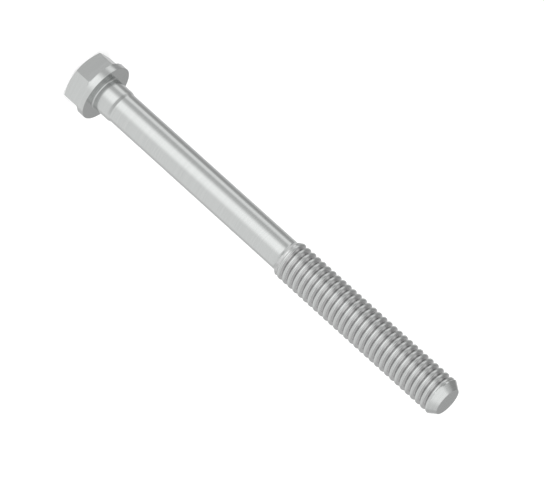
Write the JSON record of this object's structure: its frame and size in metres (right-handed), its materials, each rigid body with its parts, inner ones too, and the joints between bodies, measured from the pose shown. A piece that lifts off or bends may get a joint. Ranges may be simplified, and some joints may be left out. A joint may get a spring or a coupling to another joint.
{
  "type": "flange bolt",
  "caption": "Hex head flange bolt with a pilot collar, a reduced shank and a coarse right-hand thread with a cone point.",
  "frame": {"origin": "centre of the flat on top of the hex head, on which the bolt stands", "axes": "+Z along the bolt's axis, from the head to the tip of the thread; +X through a corner of the hex"},
  "size_m": [0.0144, 0.0144, 0.1144],
  "materials": {
    "steel": "plain satin steel, lightly polished"
  },
  "bodies": {
    "root": {"flange_bolt": "steel"}
  },
  "joints": []
}
